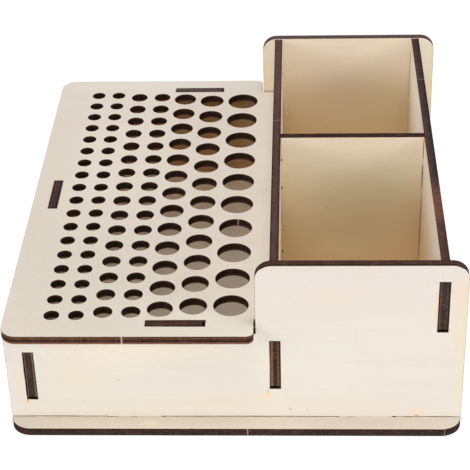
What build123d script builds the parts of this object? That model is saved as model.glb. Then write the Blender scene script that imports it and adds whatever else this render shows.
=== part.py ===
from build123d import *
import os

# A laser-cut plywood tool holder, in millimetres: X to the right along the front, Y to the back, Z up.
# The origin is the middle of the underside. Every piece is cut from one sheet thickness and
# is held by tabs that go through slots in the pieces it meets.

ply = 4.0                    # thickness of every piece

# Inside sizes
bin_width = 70.4             # partition to right wall
inner_depth = 215.6          # front panel to back panel
well_height = 48.0           # base to the underside of the hole plate
tall_rise = 32.5             # top of the hole plate to the top of the tall panel parts
wall_drop = 0.5              # the upright walls stop this far below the panel tops
divider_shift = 2.0          # how far the bin divider stands behind the middle

# Overhangs past the walls and panels
end_overhang = 8.4           # base and panels past the outer faces of the end walls
base_overhang = 8.9          # base past the front and back panels
plate_front_overhang = 8.2   # hole plate past the front panel
plate_back_overhang = 8.9    # hole plate past the back panel
tall_overhang = 6.6          # tall panel parts past the left face of the partition

# Corners
base_corner_radius = 9.5
corner_radius = 7.5          # outer corners of the hole plate and the tall panel parts
notch_corner_radius = 3.2    # plate corners beside the tall panel parts

# Tabs and slots
tab_length = 25.2
divider_tab_length = 15.5
tab_recess = 0.3             # tab ends stay this far inside the face they come out of
slot_side_play = 0.1         # between a slot and each face of the sheet whose tab it takes
slot_near_play = 0.2         # between a tab's end and the slot, at the end that it leans to
slot_far_play = 1.0          # at the other end
notch_play = 0.7             # between the hole plate and the tall panel parts

# Places of the tabs, from the edge or face named
low_foot_from_left = 57.0    # panel's left edge to the foot tab of its low part
tall_foot_from_right = 43.5  # panel's right edge to the foot tab of its tall part
plate_tab_from_wall = 65.0   # left wall's inner face to the tab under the hole plate
partition_tab_height = 30.4  # base to the middle of the partition's end tabs
right_wall_tab_height = 62.4
divider_tab_heights = (25.2, 64.2)

# Tool holes: bore, and distance from hole to hole along a column
fine_bore = 7.0
fine_pitch = 12.2
small_bore = 8.6
small_pitch = 13.5
medium_bore = 11.7
medium_pitch = 16.5
large_bore = 12.6
large_pitch = 17.6
widest_bore = 16.0
widest_pitch = 21.4

# Wood left beside the hole columns
first_web = 5.7              # left wall to the first column
narrow_web = 2.8             # before each of the three columns on the right
wide_web = 4.1               # before the other columns
last_web = 9.9               # last column to the partition

# Holes up to this bore are drawn as regular polygons around their circle, which keeps the plate
# light. The middle hole of each column is always a true circle, to fit a pin or a gauge to.
polygon_bore = 10.0
polygon_sides = 24

# Hole columns from left to right: bore, pitch, wood before the column
hole_columns = (
    (fine_bore, fine_pitch, first_web),
    (fine_bore, fine_pitch, wide_web),
    (small_bore, small_pitch, wide_web),
    (small_bore, small_pitch, wide_web),
    (medium_bore, medium_pitch, narrow_web),
    (large_bore, large_pitch, narrow_web),
    (widest_bore, widest_pitch, narrow_web),
)

# Places worked out from the sizes above
well_width = sum(web + bore for bore, pitch, web in hole_columns) + last_web
width = 2 * end_overhang + 3 * ply + well_width + bin_width
depth = inner_depth + 2 * ply + 2 * base_overhang
left = -width / 2
right = width / 2
left_wall_x = left + end_overhang
partition_x = left_wall_x + ply + well_width
right_wall_x = partition_x + ply + bin_width
tall_left = partition_x - tall_overhang
inner_y = inner_depth / 2
panel_y = inner_y + ply
plate_low = ply + well_height
plate_top = plate_low + ply
panel_top = plate_top + tall_rise
wall_top = panel_top - wall_drop
tab_reach = ply - tab_recess
plate_tab_x = left_wall_x + ply + plate_tab_from_wall
foot_tabs_x = (left + low_foot_from_left, right - tall_foot_from_right)
left_wall_tab_z = ply + well_height / 2
partition_tab_z = ply + partition_tab_height
right_wall_tab_z = ply + right_wall_tab_height
divider_tabs_z = [ply + height for height in divider_tab_heights]


def area(x0, x1, y0, y1):
    """A rectangle given by its edges."""
    return Pos((x0 + x1) / 2, (y0 + y1) / 2) * Rectangle(x1 - x0, y1 - y0)


def slot_across(x, y):
    """Slot for a tab whose length runs along the sketch's X; the tab leans to the low end."""
    low = x - tab_length / 2 - slot_near_play
    high = x + tab_length / 2 + slot_far_play
    half = ply / 2 + slot_side_play
    return area(low, high, y - half, y + half)


def slot_upright(x, y, length=tab_length):
    """Slot for a tab whose length runs along the sketch's Y; the tab leans to the high end."""
    low = y - length / 2 - slot_far_play
    high = y + length / 2 + slot_near_play
    half = ply / 2 + slot_side_play
    return area(x - half, x + half, low, high)


def across_sheet(profile, low_y):
    """A sheet that stands along X: the profile is drawn in X and Z, its front face is at low_y."""
    return extrude(Plane.XZ.offset(-low_y) * profile, amount=-ply)


def along_sheet(profile, low_x):
    """A sheet that stands along Y: the profile is drawn in Y and Z, its left face is at low_x."""
    return extrude(Plane.YZ.offset(low_x) * profile, amount=ply)


def flat_sheet(profile, low_z):
    """A sheet that lies flat: the profile is drawn in X and Y, its underside is at low_z."""
    return extrude(Plane.XY.offset(low_z) * profile, amount=ply)


def base_plate():
    """Floor under the whole holder, with a slot for the foot of each panel and wall."""
    profile = RectangleRounded(width, depth, base_corner_radius)
    for middle_y in (-panel_y + ply / 2, panel_y - ply / 2):
        for x in foot_tabs_x:
            profile -= slot_across(x, middle_y)
    for low_x in (left_wall_x, partition_x, right_wall_x):
        profile -= slot_upright(low_x + ply / 2, 0)
    return flat_sheet(profile, 0)


def end_panel(low_y):
    """Front or back panel: low beside the hole plate, tall beside the bins."""
    tall = area(tall_left, right, ply, panel_top)
    tall = fillet(tall.vertices().group_by(Axis.Y)[-1], corner_radius)
    profile = tall + area(left, tall_left, ply, plate_low)
    for x in foot_tabs_x:
        profile += area(x - tab_length / 2, x + tab_length / 2, ply - tab_reach, ply)
    profile += area(plate_tab_x - tab_length / 2, plate_tab_x + tab_length / 2,
                    plate_low, plate_low + tab_reach)
    for low_x, tab_z in ((left_wall_x, left_wall_tab_z),
                         (partition_x, partition_tab_z),
                         (right_wall_x, right_wall_tab_z)):
        profile -= slot_upright(low_x + ply / 2, tab_z)
    return across_sheet(profile, low_y)


def upright_wall(low_x, top, end_tab_z):
    """A wall between the panels, with a tab at each end and a foot tab in the middle."""
    half_tab = tab_length / 2
    profile = area(-inner_y, inner_y, ply, top)
    profile += area(-half_tab, half_tab, ply - tab_reach, ply)
    profile += area(-inner_y - tab_reach, inner_y + tab_reach, end_tab_z - half_tab, end_tab_z + half_tab)
    return profile


def left_wall():
    """Low end wall under the hole plate, with a tab up through the plate."""
    profile = upright_wall(left_wall_x, plate_low, left_wall_tab_z)
    profile += area(-tab_length / 2, tab_length / 2, plate_low, plate_low + tab_reach)
    return along_sheet(profile, left_wall_x)


def bin_wall(low_x, end_tab_z):
    """Partition or right wall: full height, slotted for the bin divider."""
    profile = upright_wall(low_x, wall_top, end_tab_z)
    for tab_z in divider_tabs_z:
        profile -= slot_upright(divider_shift, tab_z, divider_tab_length)
    return along_sheet(profile, low_x)


def bin_divider():
    """Cross wall between the two bins, with two tabs into the wall at each end."""
    low_x = partition_x + ply
    profile = area(low_x, right_wall_x, ply, wall_top)
    for tab_z in divider_tabs_z:
        profile += area(low_x - tab_reach, right_wall_x + tab_reach,
                        tab_z - divider_tab_length / 2, tab_z + divider_tab_length / 2)
    return across_sheet(profile, divider_shift - ply / 2)


def hole(bore, is_middle):
    """Outline of one hole, which is or isn't the middle one of its column."""
    if is_middle or bore > polygon_bore:
        return Circle(bore / 2)
    return RegularPolygon(bore / 2, polygon_sides, major_radius=False)


def tool_holes():
    """Outlines of all the holes: a column takes as many as fit between the end panels."""
    outlines = []
    column_edge = left_wall_x + ply
    for bore, pitch, web in hole_columns:
        x = column_edge + web + bore / 2
        count = int((inner_depth - bore) / pitch) + 1
        for row in range(count):
            y = (row - (count - 1) / 2) * pitch
            outlines.append(Pos(x, y) * hole(bore, row == count // 2))
        column_edge = x + bore / 2
    return outlines


def hole_plate():
    """Top of the tool well: its tongue reaches the partition between the tall panel parts."""
    plate_right = tall_left - notch_play
    body = area(left, plate_right, -panel_y - plate_front_overhang, panel_y + plate_back_overhang)
    body = fillet(body.vertices().group_by(Axis.X)[0], corner_radius)
    body = fillet(body.vertices().group_by(Axis.X)[-1], notch_corner_radius)
    tongue_y = inner_y - notch_play
    profile = body + area(plate_right - ply, partition_x, -tongue_y, tongue_y)
    for middle_y in (-panel_y + ply / 2, panel_y - ply / 2):
        profile -= slot_across(plate_tab_x, middle_y)
    profile -= slot_upright(left_wall_x + ply / 2, 0)
    holes = Sketch() + tool_holes()
    return flat_sheet(profile - holes, plate_low)


pieces = {
    "base_plate": base_plate(),
    "front_panel": end_panel(-panel_y),
    "back_panel": end_panel(inner_y),
    "left_wall": left_wall(),
    "partition_wall": bin_wall(partition_x, partition_tab_z),
    "right_wall": bin_wall(right_wall_x, right_wall_tab_z),
    "bin_divider": bin_divider(),
    "hole_plate": hole_plate(),
}

os.makedirs("parts", exist_ok=True)
for name, piece in pieces.items():
    export_step(piece, f"parts/{name}.step")
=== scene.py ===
import math
from collections import namedtuple

import bpy
from mathutils import Matrix, Vector
from mathutils.geometry import delaunay_2d_cdt


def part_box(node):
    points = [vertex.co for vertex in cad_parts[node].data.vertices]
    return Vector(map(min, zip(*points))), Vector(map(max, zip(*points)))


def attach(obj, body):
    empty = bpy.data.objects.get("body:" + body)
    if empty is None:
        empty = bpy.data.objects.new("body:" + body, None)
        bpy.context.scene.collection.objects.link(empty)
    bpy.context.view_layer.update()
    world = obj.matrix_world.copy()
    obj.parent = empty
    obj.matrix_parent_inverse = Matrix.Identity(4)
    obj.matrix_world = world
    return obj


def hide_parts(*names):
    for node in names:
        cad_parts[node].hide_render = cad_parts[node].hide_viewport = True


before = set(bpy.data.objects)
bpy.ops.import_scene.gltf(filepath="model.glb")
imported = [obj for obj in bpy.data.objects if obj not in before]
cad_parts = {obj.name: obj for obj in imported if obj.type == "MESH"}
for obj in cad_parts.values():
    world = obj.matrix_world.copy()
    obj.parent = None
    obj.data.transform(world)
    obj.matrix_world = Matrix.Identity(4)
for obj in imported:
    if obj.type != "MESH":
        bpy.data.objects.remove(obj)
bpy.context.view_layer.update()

# A tool holder of laser-cut plywood: eight flat sheets, joined by tabs in slots.
# Metres, X to the right along the front, Y to the back, Z up.

MM = 0.001
X, Y, Z = 0, 1, 2

# The cut edge of a sheet, measured from its outline
STRAIGHT_ARRIS = 0.12 * MM     # burnt corner along a straight or gently curved cut
OPEN_ARRIS = 0.3 * MM          # burnt corner round a slot, where the tab's end shows
SNUG_ARRIS = 0.05 * MM         # the same on the side that the tab comes from
ROUND_ARRIS = 0.1 * MM         # burnt corner round a tool hole
RIM = 0.9 * MM                 # band of the face that the heat reached
FACE_PLY = 1.05 * MM           # thickness of each outer ply
GLUE_STEP = 0.1 * MM           # height over which the burnt core steps back
CORE_DEPTH = 0.05 * MM         # how much deeper the beam ate into the core
SLOT_SNUG = 0.08 * MM          # how much closer than drawn a slot fits round its tab
SHARP_ANGLE = math.radians(30)  # faces that meet at more than this have a sharp edge

# Tool holes
SMALL_HOLE_SIDES = 32
LARGE_HOLE_SIDES = 48
LARGE_HOLE = 5 * MM            # radius from which a hole gets the larger number of sides

# How corners are compared and faces filled
FLAT = 0.01 * MM               # corners this close to a face lie in it
ROUND_ERROR = 0.05 * MM        # how much the radii to a circular hole's corners may differ
SLOT_CORNERS = 12              # no slot has more corners than this
DECIMALS = 6                   # of a metre, to which corners are matched
MERGED = 0.0001 * MM           # corners this close become one when a face is filled
FILL_INSIDE = 1                # the kind of filling that keeps within the outlines

# Heat that a face took beside a cut: above 1 it is sooty, below that only seared
LONG_HEAT = 1.25               # cuts along the grain
END_HEAT = 0.6                 # cuts across the grain
SLOT_HEAT = 1.5
HOLE_HEAT = 0.8


# Outlines of the sheets

def plane_axes(thin):
    """The two axes of a sheet's face, in the order that makes them right-handed with its thickness."""
    return (thin + 1) % 3, (thin + 2) % 3


def sides_of(corners):
    """The sides of a closed outline, each from one corner to the next."""
    return zip(corners, corners[1:] + corners[:1])


def follow_sides(sides):
    """Joins directed sides into closed outlines."""
    following = dict(sorted(sides))
    outlines = []
    while following:
        start = min(following)
        outline = [start]
        corner = following.pop(start)
        while corner != start:
            outline.append(corner)
            corner = following.pop(corner)
        outlines.append([Vector(corner) for corner in outline])
    return outlines


def sheet_outlines(node, thin):
    """Outlines of a sheet's upper face, with the wood on their left."""
    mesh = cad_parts[node].data
    u, v = plane_axes(thin)
    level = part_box(node)[1][thin]
    sides = set()
    for polygon in mesh.polygons:
        corners = [mesh.vertices[index].co for index in polygon.vertices]
        if all(abs(corner[thin] - level) < FLAT for corner in corners):
            keys = [(round(corner[u], DECIMALS), round(corner[v], DECIMALS)) for corner in corners]
            sides.update(sides_of(keys))
    return follow_sides((a, b) for a, b in sides if (b, a) not in sides)


def signed_area(outline):
    """Area inside an outline, negative round a hole or slot."""
    return sum(a.cross(b) for a, b in sides_of(outline)) / 2


def middle_of(corners):
    """Mean place of some corners."""
    return sum(corners, Vector((0, 0))) / len(corners)


def is_round(outline):
    """True for a circular hole."""
    middle = middle_of(outline)
    radii = [(corner - middle).length for corner in outline]
    return len(outline) > SLOT_CORNERS and max(radii) - min(radii) < ROUND_ERROR


def inset(outline, distance):
    """An outline moved into the wood."""
    moved = []
    for index, corner in enumerate(outline):
        before = (corner - outline[index - 1]).normalized()
        after = (outline[(index + 1) % len(outline)] - corner).normalized()
        into_wood = Vector((-before.y - after.y, before.x + after.x))
        moved.append(corner + into_wood * (distance / (1 + before.dot(after))))
    return moved


def round_hole(outline):
    """A circular hole with even sides, round the same middle and area."""
    middle = middle_of(outline)
    radius = math.sqrt(-signed_area(outline) / math.pi)
    sides = LARGE_HOLE_SIDES if radius > LARGE_HOLE else SMALL_HOLE_SIDES
    turns = [-2 * math.pi * side / sides for side in range(sides)]
    return [middle + radius * Vector((math.cos(turn), math.sin(turn))) for turn in turns]


def redrawn(outline):
    """An outline as it is cut here: holes are truly round, and slots fit snugly round their tabs."""
    if is_round(outline):
        return round_hole(outline)
    if signed_area(outline) < 0:
        return inset(outline, -SLOT_SNUG)
    return outline


def edge_rings(thickness, upper_arris, lower_arris, layered):
    """Rings of a cut edge from the upper face to the lower one: distance into the wood, and depth."""
    rings = [(RIM, 0), (upper_arris, 0), (0, upper_arris)]
    if layered:
        rings += [(0, FACE_PLY), (CORE_DEPTH, FACE_PLY + GLUE_STEP),
                  (CORE_DEPTH, thickness - FACE_PLY - GLUE_STEP), (0, thickness - FACE_PLY)]
    return rings + [(0, thickness - lower_arris), (lower_arris, thickness), (RIM, thickness)]


def inside(point, outline):
    """True if a point lies inside an outline."""
    crossings = 0
    for a, b in sides_of(outline):
        if (a.y > point.y) != (b.y > point.y):
            crossings += point.x < a.x + (point.y - a.y) / (b.y - a.y) * (b.x - a.x)
    return crossings % 2 == 1


def face_triangles(outlines):
    """Triangles that fill a face, as indices into its outlines' corners taken one after the other."""
    corners = []
    sides = []
    for outline in outlines:
        first = len(corners)
        corners += outline
        sides += sides_of(list(range(first, len(corners))))
    placed, _, triangles, sources, _, _ = delaunay_2d_cdt(corners, sides, [], FILL_INSIDE, MERGED)
    filled = []
    for triangle in triangles:
        middle = middle_of([placed[index] for index in triangle])
        in_wood = sum(inside(middle, outline) for outline in outlines) == 1
        if in_wood:
            filled.append([sources[index][0] for index in triangle])
    return filled


# Meshes of the sheets

# The order of a sheet's materials
UPPER_FACE, LOWER_FACE, LONG_EDGE, END_EDGE, CUTOUT_WALL = range(5)


class SheetMesh:
    """Corners, faces and surface values of one sheet, gathered outline by outline."""

    def __init__(self, node, sheet):
        low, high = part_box(node)
        self.low = low[sheet.thin]
        self.high = high[sheet.thin]
        self.sheet = sheet
        self.corners = []
        self.through = []      # for each corner: 0 at the upper face, 1 at the lower one
        self.faces = []
        self.finishes = []     # for each face: which of the sheet's materials it has
        self.heat = []         # for each corner of each face: highest at a cut, 0 where it is clean

    def add_ring(self, ring, depth):
        """Adds a ring of corners and returns their indices."""
        u, v = plane_axes(self.sheet.thin)
        first = len(self.corners)
        for point in ring:
            corner = [0, 0, 0]
            corner[u], corner[v] = point
            corner[self.sheet.thin] = self.high - depth
            self.corners.append(corner)
            self.through.append(depth / (self.high - self.low))
        return list(range(first, len(self.corners)))

    def follows_grain(self, start, end):
        """True for a side that runs more along the grain than across it."""
        step = end - start
        grain_is_first = self.sheet.grain == plane_axes(self.sheet.thin)[0]
        return (abs(step.x) >= abs(step.y)) == grain_is_first

    def cut(self, outline):
        """How an outline was cut: its upper and lower arris, and each side's material and heat."""
        count = len(outline)
        if is_round(outline):
            return (ROUND_ARRIS, ROUND_ARRIS), [CUTOUT_WALL] * count, [HOLE_HEAT] * count
        if signed_area(outline) < 0:
            open_above = self.sheet.open_face == UPPER_FACE
            arrises = (OPEN_ARRIS, SNUG_ARRIS) if open_above else (SNUG_ARRIS, OPEN_ARRIS)
            return arrises, [CUTOUT_WALL] * count, [SLOT_HEAT] * count
        along = [self.follows_grain(start, end) for start, end in sides_of(outline)]
        walls = [LONG_EDGE if is_along else END_EDGE for is_along in along]
        heats = [LONG_HEAT if is_along else END_HEAT for is_along in along]
        return (STRAIGHT_ARRIS, STRAIGHT_ARRIS), walls, heats

    def add_edge(self, outline):
        """Adds the cut edge along an outline; returns its outermost rings, which lie in the faces."""
        count = len(outline)
        arrises, walls, heats = self.cut(outline)
        layered = CUTOUT_WALL not in walls
        rings = [self.add_ring(inset(outline, distance), depth)
                 for distance, depth in edge_rings(self.high - self.low, *arrises, layered)]
        wall_bands = len(rings) - 3  # the first and last bands lie in the faces
        bands = [[UPPER_FACE] * count] + [walls] * wall_bands + [[LOWER_FACE] * count]
        for band, upper, lower in zip(bands, rings, rings[1:]):
            for i in range(count):
                j = (i + 1) % count
                self.faces.append((upper[i], lower[i], lower[j], upper[j]))
                at_upper = 0 if upper is rings[0] else heats[i]
                at_lower = 0 if lower is rings[-1] else heats[i]
                self.heat += [at_upper, at_lower, at_lower, at_upper]
            self.finishes += band
        return rings[0], rings[-1]

    def fill_faces(self, outlines, upper, lower):
        """Fills both faces inside the rings that their cut edges ended in."""
        for a, b, c in face_triangles([inset(outline, RIM) for outline in outlines]):
            for face in ((upper[a], upper[b], upper[c]), (lower[c], lower[b], lower[a])):
                self.faces.append(face)
                self.heat += [0] * len(face)
            self.finishes += [UPPER_FACE, LOWER_FACE]

    def build(self, name):
        """The finished mesh, with its two surface values and the material of each face."""
        mesh = bpy.data.meshes.new(name)
        mesh.from_pydata(self.corners, [], self.faces)
        mesh.attributes.new("cut_heat", "FLOAT", "CORNER").data.foreach_set("value", self.heat)
        mesh.attributes.new("through", "FLOAT", "POINT").data.foreach_set("value", self.through)
        mesh.polygons.foreach_set("material_index", self.finishes)
        mesh.shade_smooth()
        mesh.set_sharp_from_angle(angle=SHARP_ANGLE)
        mesh.validate()
        return mesh


def sheet_piece(node, sheet):
    """One sheet with burnt arrises, layered edges and true round holes, in its node's place."""
    mesh = SheetMesh(node, sheet)
    outlines = [redrawn(outline) for outline in sheet_outlines(node, sheet.thin)]
    upper = []
    lower = []
    for outline in outlines:
        first, last = mesh.add_edge(outline)
        upper += first
        lower += last
    mesh.fill_faces(outlines, upper, lower)
    piece = bpy.data.objects.new("plywood_" + node, mesh.build(node))
    bpy.context.collection.objects.link(piece)
    return piece


# Shader maths

SEED_STEPS = (3.17, 5.71, 7.93)  # how far apart the noises of two seeds are read, along each axis


class Number:
    """A number that varies over a surface: operators on it add Math nodes."""

    def __init__(self, paint, socket):
        self.paint = paint
        self.socket = socket

    def maths(self, operation, *values):
        """The outcome of one Math node."""
        return self.paint.number("ShaderNodeMath", {"operation": operation}, dict(enumerate(values)))

    def __add__(self, other):
        return self.maths("ADD", self, other)

    def __radd__(self, other):
        return self.maths("ADD", other, self)

    def __sub__(self, other):
        return self.maths("SUBTRACT", self, other)

    def __rsub__(self, other):
        return self.maths("SUBTRACT", other, self)

    def __mul__(self, other):
        return self.maths("MULTIPLY", self, other)

    def __rmul__(self, other):
        return self.maths("MULTIPLY", other, self)

    def larger(self, other):
        """The larger of two numbers."""
        return self.maths("MAXIMUM", self, other)

    def step(self, low, high):
        """0 below low, 1 above high, and smooth between them; low may be the larger."""
        settings = {"interpolation_type": "SMOOTHSTEP"}
        return self.paint.number("ShaderNodeMapRange", settings, {"Value": self, 1: low, 2: high})


class Paint:
    """The node tree of one finish, of the floor or of the sky."""

    def __init__(self, owner):
        owner.use_nodes = True
        self.tree = owner.node_tree
        self.tree.nodes.clear()

    def add(self, kind, settings=None, sockets=None):
        """Adds a node: first its settings, then the values or links of its sockets."""
        node = self.tree.nodes.new(kind)
        for name, value in (settings or {}).items():
            if name == "stops":
                self.set_stops(node.color_ramp, value)
            else:
                setattr(node, name, value)
        for name, value in (sockets or {}).items():
            value = value.socket if isinstance(value, Number) else value
            if isinstance(value, bpy.types.NodeSocket):
                self.tree.links.new(value, node.inputs[name])
            else:
                node.inputs[name].default_value = value
        return node

    def set_stops(self, ramp, stops):
        """Gives a ramp its stops: position and colour."""
        while len(ramp.elements) < len(stops):
            ramp.elements.new(1)
        for element, (position, colour) in zip(ramp.elements, stops):
            element.position = position
            element.color = opaque(colour)

    def number(self, kind, settings=None, sockets=None, output=0):
        """A number from the output of a new node."""
        return Number(self, self.add(kind, settings, sockets).outputs[output])

    def vector(self, operation, *values):
        """The outcome of one Vector Math node: a vector, or the length of one."""
        node = self.add("ShaderNodeVectorMath", {"operation": operation}, dict(enumerate(values)))
        return node.outputs["Value" if operation == "LENGTH" else "Vector"]

    def surface_value(self, name):
        """A value stored on the mesh."""
        return self.number("ShaderNodeAttribute", {"attribute_name": name}, output="Fac")

    def place(self):
        """Where a point lies on the object, in metres."""
        return self.add("ShaderNodeTexCoord").outputs["Object"]

    def height(self):
        """How high a point lies, in metres."""
        return self.number("ShaderNodeSeparateXYZ", None, {0: self.place()}, output="Z")

    def noise(self, pattern, axis, seed):
        """Noise of a pattern that is laid along an axis: from 0 to 1, and mostly near a half."""
        per_metre = tuple(pattern.along if other == axis else pattern.across for other in (X, Y, Z))
        shift = tuple(seed * step for step in SEED_STEPS)
        sockets = {"Vector": self.vector("MULTIPLY_ADD", self.place(), per_metre, shift), "Scale": 1,
                   "Detail": pattern.detail, "Roughness": pattern.roughness,
                   "Distortion": pattern.distortion}
        return self.number("ShaderNodeTexNoise", None, sockets)

    def mix(self, amount, first, second):
        """A colour between two colours."""
        settings = {"data_type": "RGBA"}
        return self.add("ShaderNodeMix", settings, {0: amount, 6: first, 7: second}).outputs[2]

    def shade(self, amount, colour, tint):
        """A colour multiplied by a tint, as far as the amount says."""
        settings = {"data_type": "RGBA", "blend_type": "MULTIPLY"}
        return self.add("ShaderNodeMix", settings, {0: amount, 6: colour, 7: opaque(tint)}).outputs[2]

    def ramp(self, amount, stops):
        """A colour read from stops."""
        return self.add("ShaderNodeValToRGB", {"stops": stops}, {0: amount}).outputs["Color"]

    def bump(self, height, strength, distance):
        """The way a surface faces where its relief has this height."""
        sockets = {"Height": height, "Strength": strength, "Distance": distance}
        return self.add("ShaderNodeBump", None, sockets).outputs[0]

    def finish(self, sockets):
        """Ends in one surface with these values."""
        surface = self.add("ShaderNodeBsdfPrincipled", None, sockets)
        self.add("ShaderNodeOutputMaterial", None, {"Surface": surface.outputs[0]})


def rgb(red, green, blue):
    """A colour as it looks on a screen, from 0 to 255, as the light that a surface sends back."""
    def linear(level):
        """One part of the colour, by the standard curve of a screen."""
        share = level / 255
        return share / 12.92 if share <= 0.04045 else ((share + 0.055) / 1.055) ** 2.4
    return linear(red), linear(green), linear(blue)


def opaque(colour):
    """A colour that nothing shows through."""
    return (*colour, 1)


# Colours of the wood

# Colours near the top of the object and near its foot, and how strong the soot beside the cuts is. The
# change from top to foot is painted: painted shade that deepens and warms towards the floor of the
# bins, and painted light that makes the outer faces a little paler low down, under the hole plate's
# overhang.
Tone = namedtuple("Tone", "high low soot")

# Outer faces, the bins' ends and divider, their side walls, the hole plate's top, the well under it,
# and the base plate's upper face. They are one wood in lit and shaded copies: the faces inside the
# bins darker and warmer as painted shade, the hole plate's top a little darker as painted shade, and
# the well and the base plate's upper face paler as painted light.
OUTER = Tone(rgb(237, 229, 218), rgb(239, 232, 221), 1)
INNER = Tone(rgb(242, 231, 209), rgb(234, 211, 168), 0.3)
SIDE = Tone(rgb(243, 234, 219), rgb(240, 220, 186), 0.3)
PLATE = Tone(rgb(231, 222, 208), rgb(231, 222, 208), 1)
WELL = Tone(rgb(250, 244, 234), rgb(250, 244, 234), 1)
BASE = Tone(rgb(246, 233, 214), rgb(246, 233, 214), 1)

# Heights between which a tone changes from its foot colour to its top colour: the span of its painted
# shade and light
TONE_TOP = 88 * MM
TONE_FOOT = 25 * MM

# Tints, which multiply the colour under them
PINK_CLOUD = (0.99, 0.965, 0.99)
STREAK = (0.94, 0.89, 0.82)
PORE = (0.80, 0.72, 0.62)
KNOT = (0.52, 0.42, 0.34)
SMOKED = (0.7, 0.66, 0.68)
SCORED = (0.62, 0.58, 0.56)

# Colours of what the laser and the growth of the tree left, of other patches of colour, and of painted
# light and shade
SEARED = rgb(250, 226, 196)
SOOT = rgb(40, 28, 22)
REDDENED = rgb(120, 80, 62)
ASHEN = rgb(150, 118, 102)
SPECK = rgb(120, 98, 80)
RUST = rgb(120, 86, 58)
TAN = rgb(206, 182, 148)
AMBER_PAINTED_SHADE = rgb(212, 164, 108)
APRICOT = rgb(236, 190, 146)
ORANGE = rgb(248, 220, 184)
YELLOW = rgb(244, 228, 198)
STRAW_PAINTED_SHADE = rgb(240, 216, 182)
OLIVE = rgb(222, 220, 188)
PINK = rgb(250, 228, 210)
CREAM_PAINTED_LIGHT = rgb(255, 243, 224)
CHALK_PAINTED_LIGHT = rgb(255, 249, 240)
PALE = rgb(240, 231, 220)
GREY = rgb(205, 198, 192)
GREY_TAN = rgb(196, 184, 168)
DULL = rgb(222, 211, 195)
PLATE_SHADE_TAN = rgb(219, 209, 194)
BARE = rgb(226, 200, 176)
BORDER_SHADE = rgb(215, 204, 188)
SEAM_SHADOW = rgb(104, 86, 68)
BLEACHED = rgb(232, 224, 214)
CHARRED = rgb(44, 36, 32)
FADED_CHAR = rgb(122, 92, 84)
RED_CHAR = rgb(102, 66, 52)
PALE_RED_CHAR = rgb(132, 88, 73)

# Cut edges from the upper face to the lower one: arris, face ply, core, face ply, arris
Plies = namedtuple("Plies", "upper_arris upper_ply core lower_ply lower_arris")


def cut_edge(*colours):
    """The colours of a cut edge, from its upper arris to its lower one."""
    return Plies(*(rgb(*colour) for colour in colours))


PLATE_EDGE = cut_edge((66, 42, 30), (134, 86, 60), (62, 42, 32), (118, 76, 54), (164, 124, 100))
BASE_EDGE = cut_edge((28, 16, 9), (68, 50, 41), (58, 45, 41), (62, 50, 46), (20, 14, 11))
FRONT_EDGE = cut_edge((44, 28, 20), (72, 50, 42), (76, 54, 47), (68, 46, 40), (28, 17, 12))
BACK_EDGE = cut_edge((84, 70, 76), (104, 86, 84), (92, 76, 76), (104, 84, 78), (70, 50, 40))
PARTITION_EDGE = cut_edge((30, 17, 11), (82, 58, 50), (88, 66, 63), (86, 63, 56), (36, 22, 13))
WALL_EDGE = cut_edge((34, 26, 26), (48, 39, 40), (66, 54, 54), (92, 66, 56), (58, 38, 28))
DIVIDER_EDGE = cut_edge((30, 20, 14), (56, 39, 33), (50, 34, 30), (58, 41, 35), (28, 18, 13))
HOLE_EDGE = cut_edge((76, 52, 38), (54, 38, 30), (48, 34, 27), (80, 55, 41), (118, 82, 60))
SLOT_EDGE = cut_edge((44, 29, 20), (34, 25, 20), (28, 21, 17), (34, 25, 20), (44, 29, 20))

# Ends of the divider, and of the tabs that show in the slots
DIVIDER_END = cut_edge((130, 96, 64), (96, 70, 52), (70, 52, 42), (96, 70, 52), (130, 96, 64))
PARTITION_END = cut_edge((112, 82, 60), (118, 80, 66), (60, 48, 38), (136, 96, 80), (140, 112, 92))
LEFT_END = cut_edge((150, 130, 114), (66, 53, 44), (70, 57, 53), (66, 44, 40), (132, 108, 96))
RIGHT_END = cut_edge((76, 60, 52), (82, 66, 60), (66, 54, 50), (78, 62, 56), (120, 96, 82))

# How each sheet lies and looks: the axis through its thickness, the axis of its grain, the face where
# the tab ends show, the tones of its upper and lower face, and its edges: cut along the grain, across
# the grain, and round holes and slots. The upper face looks to the right, the back or the top.
Sheet = namedtuple("Sheet", "thin grain open_face upper lower long_edge end_edge cutout_edge")

SHEETS = {
    "base_plate": Sheet(Z, X, LOWER_FACE, BASE, OUTER, BASE_EDGE, BASE_EDGE, SLOT_EDGE),
    "hole_plate": Sheet(Z, X, UPPER_FACE, PLATE, WELL, PLATE_EDGE, PLATE_EDGE, HOLE_EDGE),
    "front_panel": Sheet(Y, X, LOWER_FACE, INNER, OUTER, FRONT_EDGE, FRONT_EDGE, SLOT_EDGE),
    "back_panel": Sheet(Y, X, UPPER_FACE, OUTER, INNER, BACK_EDGE, BACK_EDGE, SLOT_EDGE),
    "bin_divider": Sheet(Y, X, LOWER_FACE, INNER, INNER, DIVIDER_EDGE, DIVIDER_END, SLOT_EDGE),
    "left_wall": Sheet(X, Y, LOWER_FACE, WELL, OUTER, WALL_EDGE, LEFT_END, SLOT_EDGE),
    "partition_wall": Sheet(X, Y, LOWER_FACE, SIDE, OUTER, PARTITION_EDGE, PARTITION_END, SLOT_EDGE),
    "right_wall": Sheet(X, Y, UPPER_FACE, OUTER, SIDE, WALL_EDGE, RIGHT_END, SLOT_EDGE),
}

# Marks on the sheets: burns, specks, nicks and patches of colour, some of them painted light and shade

# A mark: its middle, in millimetres from the sheet's low corner along X or Y and then Y or Z; its
# half widths the same way; its colour, strength, and the share of it that fades out
Mark = namedtuple("Mark", "along up half_along half_up colour strength soft", defaults=[1])

ENDLESS = 600                  # half width of a mark that runs on past both ends of its sheet
FACE_MARK_WOBBLE = 0.8         # how uneven a mark's border is, as a share of the mark
EDGE_MARK_WOBBLE = 0.5

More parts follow.
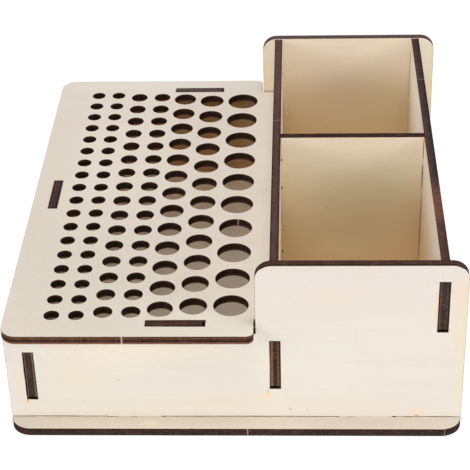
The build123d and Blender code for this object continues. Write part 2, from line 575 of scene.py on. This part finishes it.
FACE_MARKS = {
    ("front_panel", LOWER_FACE): [
        # painted light: paler and creamier along the top of the low front, under the hole plate's
        # overhang
        Mark(55, 46, 62, 22, CREAM_PAINTED_LIGHT, 0.7),
        Mark(205, 74, 8, 14, ORANGE, 0.55),
        # painted shadow in the seam where the panel stands on the base plate, broken where its tabs go
        # in, with two dots of painted shade in soot's colour at the ends of a tab
        Mark(22, 3.8, 24, 0.45, SEAM_SHADOW, 0.85, 0.3),
        Mark(110.4, 3.8, 43, 0.45, SEAM_SHADOW, 0.85, 0.3),
        Mark(193, 3.8, 18, 0.45, SEAM_SHADOW, 0.85, 0.3),
        Mark(150.6, 3.8, 0.7, 0.5, SOOT, 0.8),
        Mark(176.5, 3.8, 1, 0.6, SOOT, 1, 0.4),
        Mark(33, 27, 22, 18, YELLOW, 0.4),
        Mark(96, 12, 34, 9, ORANGE, 0.18),
        Mark(78, 34, 26, 10, GREY, 0.14),
        Mark(150, 72, 34, 8, YELLOW, 0.25),
        Mark(21, 44.7, 8, 1.8, PINK, 0.8),
        Mark(7, 44.9, 5, 1.2, PINK, 0.6),
        Mark(70, 45.2, 42, 1.2, PINK, 0.4),
        Mark(5.2, 24, 3.4, 13, YELLOW, 0.7),
        Mark(7.8, 12.6, 4.2, 2.8, ORANGE, 0.75),
        # thin lines in soot's colour beside two slots: painted shadow of the gap beside each tab
        Mark(8.1, 30, 0.45, 8, SOOT, 1, 0.3),
        Mark(8.1, 19, 0.45, 8, SOOT, 1, 0.3),
        Mark(119.9, 38, 0.4, 8, SOOT, 1, 0.3),
        Mark(119.9, 27, 0.4, 8, SOOT, 1, 0.3),
        Mark(119.6, 33, 2.8, 14, PINK, 0.6),
        Mark(117.6, 16.2, 5.5, 4.2, YELLOW, 0.9),
        Mark(118.2, 17.4, 1.8, 2.6, ORANGE, 0.9),
        Mark(118.9, 18.6, 1.2, 1.2, TAN, 0.6),
        Mark(119.7, 20.6, 0.8, 0.8, SOOT, 0.8),
        Mark(193.3, 66, 0.8, 12, ORANGE, 1, 0.6),
        Mark(192.4, 78.8, 1.7, 0.5, TAN, 0.7),
        Mark(200.3, 79.4, 0.8, 0.4, TAN, 0.7),
        Mark(199.7, 53.8, 0.6, 0.5, TAN, 0.7),
        Mark(195.3, 83, 0.5, 4.4, GREY, 0.4),
        Mark(205.4, 52, 6, 28, YELLOW, 0.9),
        Mark(206.4, 26, 4.6, 30, YELLOW, 0.9),
        Mark(187, 6.2, 6, 3.6, YELLOW, 1),
        Mark(186.8, 4.3, 1.3, 0.7, RUST, 0.7),
        Mark(32.4, 42.3, 0.4, 0.4, SPECK, 0.8),
        Mark(33.8, 12.2, 0.45, 0.4, SPECK, 0.7),
        Mark(51.0, 25.1, 0.4, 0.35, SPECK, 0.7),
        Mark(158.8, 50.2, 0.45, 0.4, SPECK, 0.8),
        Mark(136.8, 7.7, 0.4, 0.4, SPECK, 0.7),
    ],
    ("bin_divider", LOWER_FACE): [
        Mark(39, 50, 50, 44, OLIVE, 0.35, 0.6),
        Mark(62, 62, 20, 22, OLIVE, 0.3),
        Mark(14, 44, 16, 20, YELLOW, 0.35),
        Mark(44, 34, 24, 18, TAN, 0.16),
        Mark(73.9, 77.4, 0.3, 6.8, SOOT, 0.75, 0.4),
        Mark(73.9, 61.9, 0.4, 7.4, SOOT, 0.9, 0.3),
        Mark(73.9, 31, 0.3, 24, RUST, 0.75, 0.5),
        Mark(73.3, 70, 1.5, 0.55, BARE, 0.8),
        Mark(4.1, 71.2, 0.5, 0.9, SOOT, 0.9, 0.4),
        Mark(4.1, 55.2, 0.5, 0.9, SOOT, 0.9, 0.4),
        Mark(4.1, 16.9, 0.5, 0.9, SOOT, 0.9, 0.4),
        Mark(5.4, 32.4, 1.3, 0.5, RUST, 0.6),
        Mark(4.8, 30.2, 0.5, 1.2, RUST, 0.7),
        Mark(26.6, 43.2, 0.5, 0.35, SPECK, 0.6),
    ],
    ("back_panel", LOWER_FACE): [
        # painted shade: darker and more amber low on the back wall, inside the well under the hole
        # plate
        Mark(58, 30, 74, 52, AMBER_PAINTED_SHADE, 0.9, 0.5),
        Mark(127.6, 38, 3.4, 9, APRICOT, 0.5),
        Mark(150, 40, 26, 12, ORANGE, 0.2),
        Mark(133, 76, 12, 10, YELLOW, 0.3),
    ],
    ("right_wall", LOWER_FACE): [
        # painted light: the right wall's inside much paler along the rear bin
        Mark(172, 60, 56, 64, CHALK_PAINTED_LIGHT, 0.95, 0.7),
    ],
    ("base_plate", UPPER_FACE): [
        # painted shade: the floor towards the back, under the hole plate, darker and warmer
        Mark(60, 230, 100, 130, STRAW_PAINTED_SHADE, 0.9, 0.8),
        # painted shade: a darker band along each border of the base plate, outside the panels that
        # stand on it
        Mark(103.5, 4.2, ENDLESS, 4.9, BORDER_SHADE, 0.95, 0.08),
        Mark(103.5, 237.2, ENDLESS, 4.9, BORDER_SHADE, 0.95, 0.08),
        Mark(4, 120.7, 4.7, ENDLESS, BORDER_SHADE, 0.95, 0.08),
        Mark(203, 120.7, 4.7, ENDLESS, BORDER_SHADE, 0.95, 0.08),
        Mark(64.3, 4.6, 6.5, 4, YELLOW, 0.4),
        # darker and greyer along the right part of the front strip
        Mark(165, 4.4, 60, 9, GREY_TAN, 0.5),
        Mark(57, 7.2, 3.4, 0.7, TAN, 0.5),
        Mark(7.7, 1.9, 2.4, 0.7, TAN, 0.5),
        Mark(91.3, 4.3, 0.4, 0.5, SPECK, 0.7),
    ],
    ("hole_plate", UPPER_FACE): [
        # painted shade: the hole plate's top darker at its left side and towards the front left;
        # painted light: paler along its back
        Mark(3, 120, 26, 140, DULL, 0.7),
        Mark(34, 44, 74, 110, PLATE_SHADE_TAN, 0.85),
        Mark(70, 238, 90, 26, PALE, 0.7),
        Mark(39, 229.3, 0.6, 0.8, SPECK, 0.5),
        Mark(92.1, 11.2, 0.8, 0.6, TAN, 0.7),
        Mark(95.6, 11.9, 0.7, 0.7, TAN, 0.7),
    ],
}

EDGE_MARKS = {
    "hole_plate": [
        Mark(54.7, 0, 0.4, 3, BARE, 0.9, 0.4),
        Mark(103.3, 95.1, 0.4, 2, BARE, 0.7, 0.4),
        Mark(112.9, 231, 2, 7, BLEACHED, 0.9, 0.5),
    ],
    "base_plate": [
        Mark(3, 0, 16, 14, CHARRED, 0.75),
        Mark(205, 0, 12, 14, CHARRED, 0.5),
        Mark(109.4, 0, 0.4, 3, BARE, 0.7),
        Mark(199.1, 0, 0.3, 3, BARE, 0.35),
    ],
    "partition_wall": [
        Mark(129.1, 87.7, 0.5, 3, BARE, 0.25),
        Mark(182, 87.7, 62, 4, FADED_CHAR, 0.3, 0.6),
    ],
    "right_wall": [
        Mark(171.9, 87.7, 0.5, 3, BARE, 0.25),
        Mark(33, 87.7, 38, 12, RED_CHAR, 0.35, 0.06),
        Mark(50, 87.7, 21, 12, PALE_RED_CHAR, 0.6, 0.7),
    ],
}


def spot(paint, node, mark, wobble):
    """A mark on the wood: 1 in its middle, 0 outside its half widths, with an uneven border."""
    thin = SHEETS[node].thin
    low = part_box(node)[0]
    axes = [axis for axis in (X, Y, Z) if axis != thin]
    middle = list(low)
    radii = [1, 1, 1]
    for axis, distance, half in zip(axes, (mark.along, mark.up), (mark.half_along, mark.half_up)):
        middle[axis] += distance * MM
        radii[axis] = half * MM
    offset = paint.vector("SUBTRACT", paint.place(), middle)
    share = Number(paint, paint.vector("LENGTH", paint.vector("DIVIDE", offset, radii)))
    return (share + wobble).step(1, 1 - mark.soft)


def add_marks(paint, colour, node, marks, wobble):
    """Lays marks over a colour, one after the other."""
    for mark in marks:
        amount = spot(paint, node, mark, wobble) * mark.strength
        colour = paint.mix(amount, colour, opaque(mark.colour))
    return colour


# Finishes

# A pattern: its features per metre along its axis and across it, the range of its noise over which it
# comes to show, its strength, and the noise's own detail, roughness and distortion
Pattern = namedtuple("Pattern", "along across low high strength detail roughness distortion",
                     defaults=[0, 1, 1, 3, 0.5, 0])

# Patterns of a face, laid along the grain
CLOUDS = Pattern(9, 18, 0.35, 0.65, detail=2)
BANDS = Pattern(7, 110, 0.42, 0.75, 0.3, distortion=0.4)
LINES = Pattern(28, 900, 0.45, 0.8, 0.22, detail=4, roughness=0.62)
PORES = Pattern(230, 4200, 0.6, 0.75, 0.2, detail=1)
UNEVEN = Pattern(260, 700)
PIT = (0.7, 0.6)               # range of the pores' noise over which the face sinks
PIT_RELIEF = 0.5               # share of the relief that the pores have, and the lines the rest

# Patterns of a cut edge, laid through the sheet
BEAM = Pattern(90, 1500, 0.42, 0.66, 0.65, detail=2)
SMOKE = Pattern(90, 70, 0.35, 0.65, 0.4)
RED_PATCHES = Pattern(300, 150, 0.5, 0.75, 0.3)
ASH = Pattern(1300, 800, 0.52, 0.75, 0.24, detail=2)
ASH_RELIEF = 0.4               # share of the relief that the ash has, and the beam the rest
HIDDEN_CUT = 0.3               # bareness of the cuts in holes and slots

# Seeds that keep apart two noises of one sheet
LOWER_SEED = 0.4
RED_SEED = 0.5

# Pin knots, one to a cell, with their radii as shares of a cell
KNOT_CELLS = 21                # per metre
KNOT_RADIUS = 0.032
KNOT_CORE = 0.016
KNOT_WOBBLE = 0.02
KNOT_STRENGTH = 0.7

# Ranges of the heat beside a cut over which the searing and the soot come to show
SEAR_RANGE = (0.2, 1.3)
SEAR_STRENGTH = 0.6
SOOT_RANGE = (0.86, 1)
SOOT_WOBBLE = 0.1

# Where the bands of a cut edge begin and end, as shares of the thickness from the nearer face
ARRIS_END = 0.1
PLY_START = 0.15
PLY_END = 0.26
CORE_START = 0.31
PLY_WOBBLE = 0.06              # how unevenly the bands run

# How bare wood takes the light: its least roughness, how much more there is in places, the strength
# of its highlights, and the strength and depth of its relief
Feel = namedtuple("Feel", "roughness varies highlights relief depth")

FACE_FEEL = Feel(0.6, 0.12, 0.3, 0.3, 0.08 * MM)
EDGE_FEEL = Feel(0.78, 0.15, 0.08, 0.5, 0.1 * MM)
WOOD_IOR = 1.45


def shown(noise, pattern):
    """How strongly a pattern shows, from its noise."""
    return noise.step(pattern.low, pattern.high) * pattern.strength


def bare_wood(paint, colour, rough, relief, feel):
    """Ends a finish in wood of this colour and feel."""
    paint.finish({"Base Color": colour, "Roughness": feel.roughness + rough * feel.varies,
                  "Normal": paint.bump(relief, feel.relief, feel.depth),
                  "IOR": WOOD_IOR, "Specular IOR Level": feel.highlights})


def pin_knots(paint, colour, seed, uneven):
    """Scatters small dark knots over a colour."""
    per_metre = (KNOT_CELLS, KNOT_CELLS, KNOT_CELLS)
    cells = paint.vector("MULTIPLY_ADD", paint.place(), per_metre, (seed, seed * 2, seed * 3))
    distance = paint.number("ShaderNodeTexVoronoi", None, {"Vector": cells, "Scale": 1})
    knot = (distance + uneven * KNOT_WOBBLE).step(KNOT_RADIUS, KNOT_CORE)
    return paint.shade(knot * KNOT_STRENGTH, colour, KNOT)


def burnt_rim(paint, colour, soot, uneven):
    """Searing and soot on a face, beside its cuts."""
    heat = paint.surface_value("cut_heat")
    seared = (heat + uneven - 0.5).step(*SEAR_RANGE)
    colour = paint.mix(seared * SEAR_STRENGTH, colour, opaque(SEARED))
    sooty = (heat + uneven * SOOT_WOBBLE).step(*SOOT_RANGE)
    return paint.mix(sooty * soot, colour, opaque(SOOT))


def veneer(material, node, seed, tone, marks):
    """Pale face of a sheet: painted shade and light by height, soft bands, fine grain, pores, pin
    knots, burnt rims, and marks, some of which are painted light and shade.
    """
    paint = Paint(material)
    grain = SHEETS[node].grain
    clouds = paint.noise(CLOUDS, grain, seed)
    bands = paint.noise(BANDS, grain, seed)
    lines = paint.noise(LINES, grain, seed)
    pores = paint.noise(PORES, grain, seed)
    uneven = paint.noise(UNEVEN, grain, seed)

    # painted shade and light by height: the tone's foot colour low down, its top colour high up
    rise = paint.height().step(TONE_FOOT, TONE_TOP)
    colour = paint.mix(rise, opaque(tone.low), opaque(tone.high))
    colour = paint.shade(shown(clouds, CLOUDS), colour, PINK_CLOUD)
    colour = paint.shade(shown(bands, BANDS) + shown(lines, LINES), colour, STREAK)
    colour = paint.shade(shown(pores, PORES), colour, PORE)
    colour = pin_knots(paint, colour, seed, uneven)
    colour = burnt_rim(paint, colour, tone.soot, uneven)
    colour = add_marks(paint, colour, node, marks, (uneven - 0.5) * FACE_MARK_WOBBLE)

    relief = lines * (1 - PIT_RELIEF) + pores.step(*PIT) * PIT_RELIEF
    bare_wood(paint, colour, lines, relief, FACE_FEEL)


def ply_stops(plies):
    """Stops of a ramp across a cut edge."""
    return [(0, plies.upper_arris), (ARRIS_END, plies.upper_arris),
            (PLY_START, plies.upper_ply), (PLY_END, plies.upper_ply),
            (CORE_START, plies.core), (1 - CORE_START, plies.core),
            (1 - PLY_END, plies.lower_ply), (1 - PLY_START, plies.lower_ply),
            (1 - ARRIS_END, plies.lower_arris), (1, plies.lower_arris)]


def burnt_edge(material, node, seed, plies, bareness=1):
    """Cut edge: bands of plies, reddish patches, marks, smoke, fine lines of the beam, and ash.

    The bareness is the share of the reddish patches and the ash that shows.
    """
    paint = Paint(material)
    thin = SHEETS[node].thin
    beam = paint.noise(BEAM, thin, seed)
    smoke = paint.noise(SMOKE, thin, seed)
    red = paint.noise(RED_PATCHES, thin, seed + RED_SEED)
    ash = paint.noise(ASH, thin, seed)
    marks = EDGE_MARKS.get(node, [])

    depth = paint.surface_value("through") + (smoke - 0.5) * PLY_WOBBLE
    colour = paint.ramp(depth, ply_stops(plies))
    colour = paint.mix(shown(red, RED_PATCHES) * bareness, colour, opaque(REDDENED))
    colour = add_marks(paint, colour, node, marks, (beam - 0.5) * EDGE_MARK_WOBBLE)
    colour = paint.shade(shown(smoke, SMOKE), colour, SMOKED)
    colour = paint.shade(shown(beam, BEAM), colour, SCORED)
    colour = paint.mix(shown(ash, ASH) * bareness, colour, opaque(ASHEN))

    relief = beam * (1 - ASH_RELIEF) + ash * ASH_RELIEF
    bare_wood(paint, colour, ash, relief, EDGE_FEEL)


def dress(node, seed):
    """Makes a sheet, gives it its finishes and puts it in its node's place."""
    sheet = SHEETS[node]
    piece = sheet_piece(node, sheet)
    names = ("upper_face", "lower_face", "long_edge", "end_edge", "cutout_walls")
    finishes = [bpy.data.materials.new(node + "_" + name) for name in names]
    veneer(finishes[UPPER_FACE], node, seed, sheet.upper, FACE_MARKS.get((node, UPPER_FACE), []))
    veneer(finishes[LOWER_FACE], node, seed + LOWER_SEED, sheet.lower,
           FACE_MARKS.get((node, LOWER_FACE), []))
    burnt_edge(finishes[LONG_EDGE], node, seed, sheet.long_edge)
    burnt_edge(finishes[END_EDGE], node, seed, sheet.end_edge)
    burnt_edge(finishes[CUTOUT_WALL], node, seed, sheet.cutout_edge, bareness=HIDDEN_CUT)
    for material in finishes:
        piece.data.materials.append(material)
    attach(piece, "root")
    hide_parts(node)


# Floor, light and camera

WHITE = (1, 1, 1)
FLOOR_HALF = 3.0               # half the floor's side
FLOOR_GREY = (0.75, 0.75, 0.75)
FLOOR_GLOW = 1.1               # strength of its white
FLOOR_SHARE = 0.15             # how much of the lit floor shows through its white
SKY_LEVEL = 0.45               # how bright the sky is to the object, where the camera sees white

# A large soft lamp: its heading is 0 in front and negative to the left, in degrees as its height is,
# and its level is how brightly it lights a white face turned towards it
Lamp = namedtuple("Lamp", "name heading height distance size level")

LAMPS = [
    Lamp("overhead_lamp", 0, 80, 1.6, 0.7, 0.31),
    Lamp("front_lamp", 0, 10, 1.8, 0.8, 0.2),
    Lamp("left_lamp", -62, 23, 1.6, 0.6, 0.23),
    Lamp("right_lamp", 62, 27, 1.6, 0.6, 0.22),
]

# The camera as in the photograph: where it stands, and which way its right, foot and front point
CAMERA_LENS = 121.66
CAMERA_PLACE = Vector((0.03005, -0.67821, 0.47668))
CAMERA_RIGHT = Vector((0.99916, 0.03262, -0.02473))
CAMERA_DOWN = Vector((-0.00275, -0.54940, -0.83556))
CAMERA_FORWARD = Vector((-0.04084, 0.83492, -0.54885))


def view_rays(paint):
    """1 for a ray that comes from the camera, straight or by way of a gloss or glass."""
    path = paint.add("ShaderNodeLightPath")
    straight, glossy, through_glass = [Number(paint, path.outputs[kind]) for kind in
                                       ("Is Camera Ray", "Is Glossy Ray", "Is Transmission Ray")]
    return straight.larger(glossy).larger(through_glass)


def make_floor():
    """Plain white floor, which shows only a trace of the object's shadow."""
    half = FLOOR_HALF
    corners = [(-half, -half, 0), (half, -half, 0), (half, half, 0), (-half, half, 0)]
    mesh = bpy.data.meshes.new("floor")
    mesh.from_pydata(corners, [], [(0, 1, 2, 3)])
    floor = bpy.data.objects.new("floor", mesh)
    bpy.context.collection.objects.link(floor)
    material = bpy.data.materials.new("white_floor")
    paint = Paint(material)
    lit = paint.add("ShaderNodeBsdfDiffuse", None, {"Color": opaque(FLOOR_GREY)})
    white = paint.add("ShaderNodeEmission", None, {"Color": opaque(WHITE), "Strength": FLOOR_GLOW})
    amount = view_rays(paint) * (1 - FLOOR_SHARE)
    sockets = {0: amount, 1: lit.outputs[0], 2: white.outputs[0]}
    surface = paint.add("ShaderNodeMixShader", None, sockets)
    paint.add("ShaderNodeOutputMaterial", None, {"Surface": surface.outputs[0]})
    mesh.materials.append(material)


def make_sky():
    """Even light from all round, with a white background behind the object."""
    world = bpy.data.worlds.new("studio")
    bpy.context.scene.world = world
    paint = Paint(world)
    strength = view_rays(paint) * (1 - SKY_LEVEL) + SKY_LEVEL
    sky = paint.add("ShaderNodeBackground", None, {"Color": opaque(WHITE), "Strength": strength})
    paint.add("ShaderNodeOutputWorld", None, {"Surface": sky.outputs[0]})


def make_lamp(lamp):
    """Stands a lamp where it says, turned towards the object."""
    data = bpy.data.lights.new(lamp.name, "AREA")
    data.shape = "DISK"
    data.size = lamp.size
    data.energy = lamp.level * (math.pi * lamp.distance) ** 2
    light = bpy.data.objects.new(lamp.name, data)
    turn = math.radians(lamp.heading)
    lift = math.radians(lamp.height)
    away = Vector((math.sin(turn) * math.cos(lift), -math.cos(turn) * math.cos(lift), math.sin(lift)))
    light.location = away * lamp.distance
    light.rotation_mode = "QUATERNION"
    light.rotation_quaternion = (-away).to_track_quat("-Z", "Y")
    bpy.context.collection.objects.link(light)


def make_camera():
    """Stands before the front, a little above and right of the middle, as in the photograph."""
    data = bpy.data.cameras.new("camera")
    data.lens = CAMERA_LENS
    camera = bpy.data.objects.new("camera", data)
    turn = Matrix((CAMERA_RIGHT, -CAMERA_DOWN, -CAMERA_FORWARD)).transposed()
    camera.matrix_world = Matrix.Translation(CAMERA_PLACE) @ turn.to_4x4()
    bpy.context.collection.objects.link(camera)
    bpy.context.scene.camera = camera


for sheet_seed, sheet_name in enumerate(SHEETS, start=1):
    dress(sheet_name, sheet_seed)
make_floor()
make_sky()
for each_lamp in LAMPS:
    make_lamp(each_lamp)
make_camera()
bpy.context.scene.view_settings.view_transform = "Standard"
